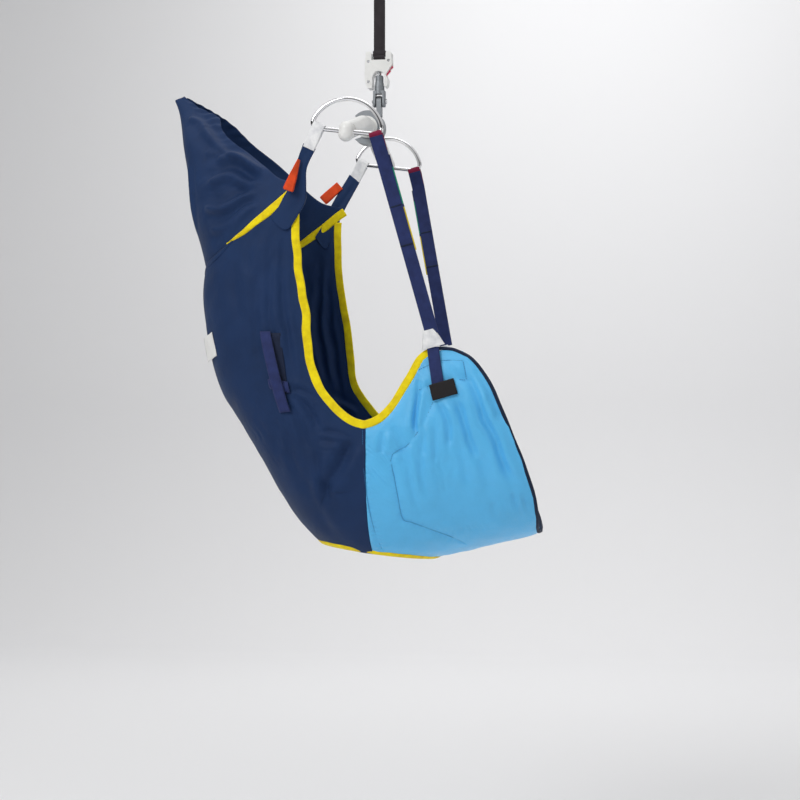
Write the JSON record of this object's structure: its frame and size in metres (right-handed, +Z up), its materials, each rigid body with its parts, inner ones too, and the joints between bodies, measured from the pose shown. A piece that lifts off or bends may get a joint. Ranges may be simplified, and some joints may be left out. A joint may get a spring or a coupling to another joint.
{
  "type": "patient lift hoist",
  "caption": "Hanging patient lift: tape and quick coupling, swivel spreader beam with strap rings, and a hammock sling with head support, side openings and commode opening.",
  "frame": {"origin": "centre of the bolt hole at the top face of the anchor bracket; everything hangs below it", "axes": "+Z up along the lift tape, +X the way the sling's seat faces, +Y along the spreader beam"},
  "size_m": [0.798, 0.481, 1.2767],
  "materials": {
    "zinc_steel": "zinc plated, satin",
    "pin_steel": "bright turned steel",
    "bearing_plastic": "natural acetal",
    "tape_webbing": "dense charcoal polyester webbing",
    "white_plastic": "smooth moulded white",
    "red_plastic": "moulded red",
    "grey_metal": "bead blasted grey casting",
    "dark_steel": "dark oxide",
    "ring_chrome": "polished",
    "navy_cloth": "tightly woven navy polyester, slight sheen",
    "blue_cloth": "padded light blue nylon, slight sheen",
    "yellow_tape": "ribbed binding tape",
    "navy_binding": "ribbed binding tape",
    "white_webbing": "soft white tape",
    "navy_webbing": "ribbed navy webbing",
    "orange_webbing": "ribbed orange red webbing",
    "maroon_webbing": "ribbed maroon webbing",
    "length_webbing": "ribbed green webbing with a yellow stretch",
    "black_patch": "stitched black reinforcement",
    "label_cloth": "blank white woven label",
    "stay_plastic": "flexible batten"
  },
  "bodies": {
    "overhead": {"anchor_bracket": "zinc_steel", "anchor_pin": "pin_steel", "anchor_clip": "pin_steel", "tape_thimble": "bearing_plastic", "lift_tape": "tape_webbing"},
    "coupling": {"coupling_front_shell": "white_plastic", "coupling_back_shell": "white_plastic", "tape_pin": "pin_steel", "coupling_screws": "pin_steel", "latch_pin": "pin_steel", "thrust_washer": "bearing_plastic", "latch_spring": "pin_steel"},
    "latch": {"safety_latch": "red_plastic"},
    "swivel": {"swivel_stud": "pin_steel", "swivel_fork": "grey_metal", "fork_pin": "pin_steel", "fork_pin_clip": "pin_steel"},
    "claw": {"beam_claw": "grey_metal", "eye_shoe": "dark_steel", "claw_liner": "bearing_plastic"},
    "spreader": {"beam_core": "dark_steel", "beam_sleeve": "white_plastic", "beam_collars": "white_plastic", "near_ring": "ring_chrome", "far_ring": "ring_chrome", "near_end_block": "white_plastic", "far_end_block": "white_plastic", "back_panel": "navy_cloth", "leg_panel": "blue_cloth", "hood_panel": "navy_cloth", "neck_band": "navy_cloth", "knee_binding": "navy_binding", "aperture_binding": "yellow_tape", "care_label": "label_cloth", "hood_stay": "stay_plastic", "hood_stay_channel": "navy_cloth", "near_shoulder_binding": "yellow_tape", "near_front_binding": "yellow_tape", "near_shoulder_loop": "white_webbing", "near_shoulder_strap": "navy_webbing", "near_spare_loop": "orange_webbing", "near_leg_loop": "maroon_webbing", "near_leg_strap": "navy_webbing", "near_leg_lengths": "length_webbing", "near_leg_sleeve": "white_webbing", "near_leg_tail": "navy_webbing", "near_leg_patch": "black_patch", "near_handle": "navy_webbing", "far_shoulder_binding": "yellow_tape", "far_front_binding": "yellow_tape", "far_shoulder_loop": "white_webbing", "far_shoulder_strap": "navy_webbing", "far_spare_loop": "orange_webbing", "far_leg_loop": "maroon_webbing", "far_leg_strap": "navy_webbing", "far_leg_lengths": "length_webbing", "far_leg_sleeve": "white_webbing", "far_leg_tail": "navy_webbing", "far_leg_patch": "black_patch", "far_handle": "navy_webbing"}
  },
  "joints": [
    {"name": "coupling_swing", "type": "hinge", "parent": "overhead", "child": "coupling", "pos_m": [0, 0, -0.219], "axis": [1, 0, 0], "range_deg": [-30, 30]},
    {"name": "latch_press", "type": "hinge", "parent": "coupling", "child": "latch", "pos_m": [0.017, 0, -0.24], "axis": [0, 1, 0], "range_deg": [-14, 0], "stiffness_Nm_per_rad": 0.05, "springref_deg": 5.73},
    {"name": "hanger_swivel", "type": "hinge", "parent": "coupling", "child": "swivel", "pos_m": [0, 0, -0.25], "axis": [0, 0, 1], "continuous": true},
    {"name": "claw_rock", "type": "hinge", "parent": "swivel", "child": "claw", "pos_m": [0, 0, -0.313], "axis": [1, 0, 0], "range_deg": [-25, 25]},
    {"name": "beam_tilt", "type": "hinge", "parent": "claw", "child": "spreader", "pos_m": [-0.024, 0, -0.369], "axis": [0, 1, 0], "range_deg": [-30, 30]}
  ]
}
